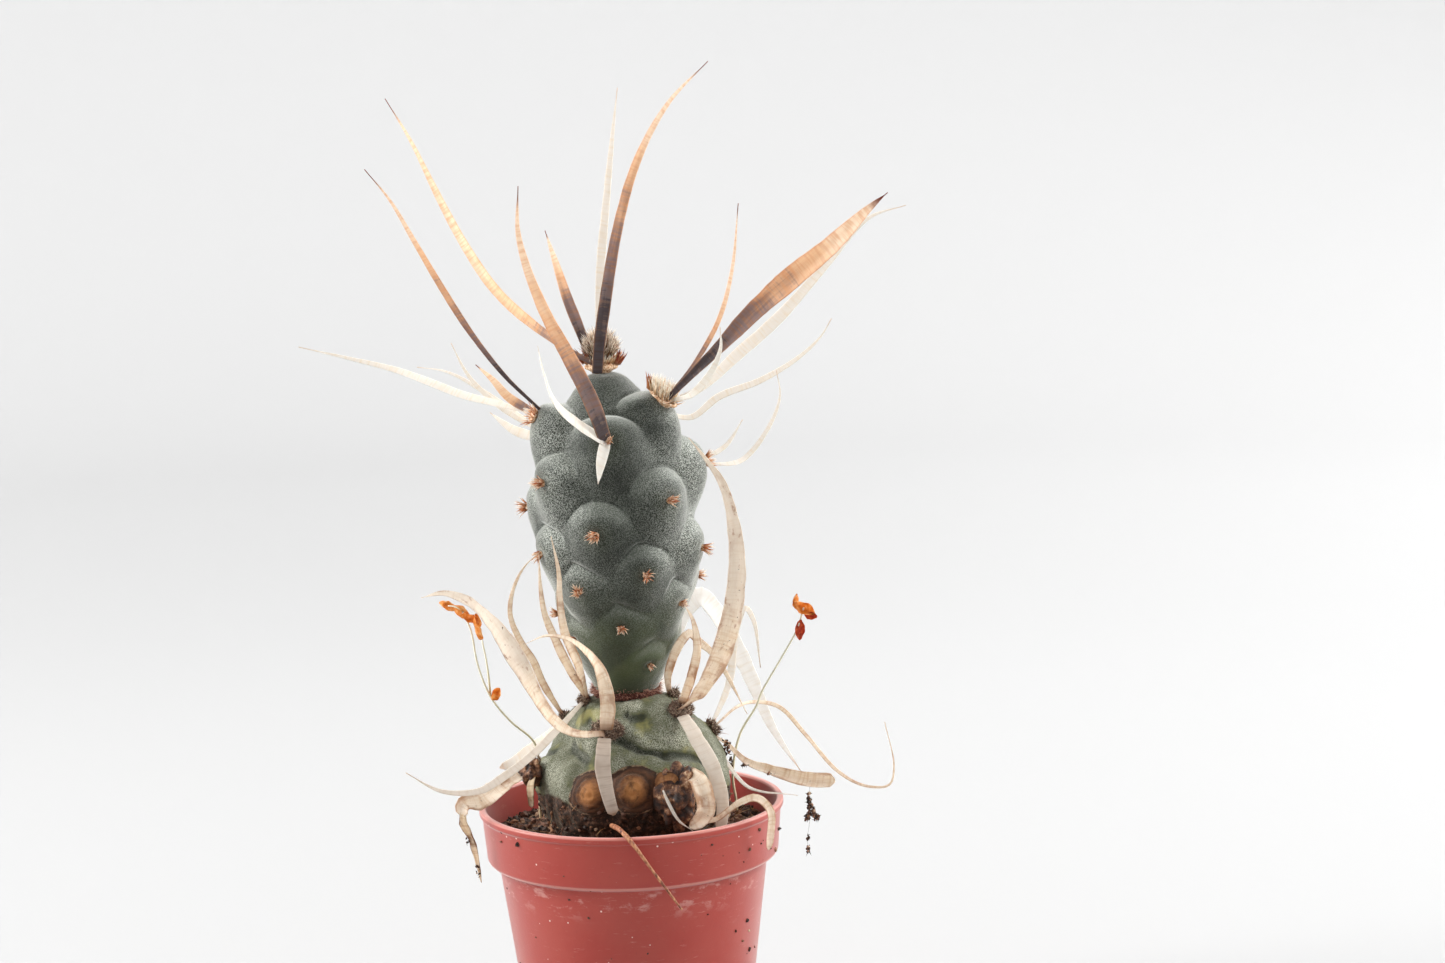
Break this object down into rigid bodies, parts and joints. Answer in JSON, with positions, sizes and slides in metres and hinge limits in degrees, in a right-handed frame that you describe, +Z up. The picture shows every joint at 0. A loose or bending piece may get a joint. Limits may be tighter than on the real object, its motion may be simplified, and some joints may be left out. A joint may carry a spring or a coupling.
{
  "type": "potted paper spine cactus",
  "caption": "Jointed cactus with flat papery spines, a young joint grown on an old one, standing in the soil of a small round plastic nursery pot.",
  "frame": {"origin": "centre of the pot's flat underside", "axes": "+Z up along the plant, -Y towards the viewer of the picture, +X to that viewer's right"},
  "size_m": [0.1117, 0.0638, 0.1823],
  "materials": {
    "pot": "satin",
    "soil": "rough",
    "old_skin": "matte",
    "young_skin": "matte",
    "young_spines": "matte",
    "pale_spines": "matte",
    "old_spines": "matte",
    "needle": "matte",
    "weed": "matte"
  },
  "bodies": {
    "root": {"pot": "pot", "soil": "soil", "old_joint": "old_skin", "young_joint": "young_skin", "crown_spines": "young_spines", "front_upper_spines": "young_spines", "right_shoulder_spines": "young_spines", "left_shoulder_spines": "young_spines", "back_upper_spines": "pale_spines", "right_edge_spines": "pale_spines", "back_left_spines": "pale_spines", "neck_left_spines": "old_spines", "neck_right_spine": "old_spines", "lower_right_spines": "old_spines", "lower_back_spine": "pale_spines", "lower_front_spines": "old_spines", "far_right_spines": "old_spines", "far_left_spines": "old_spines", "dried_left_spines": "old_spines", "dried_right_spines": "old_spines", "fallen_spine": "needle", "left_weed": "weed", "right_weed": "weed"}
  },
  "joints": []
}
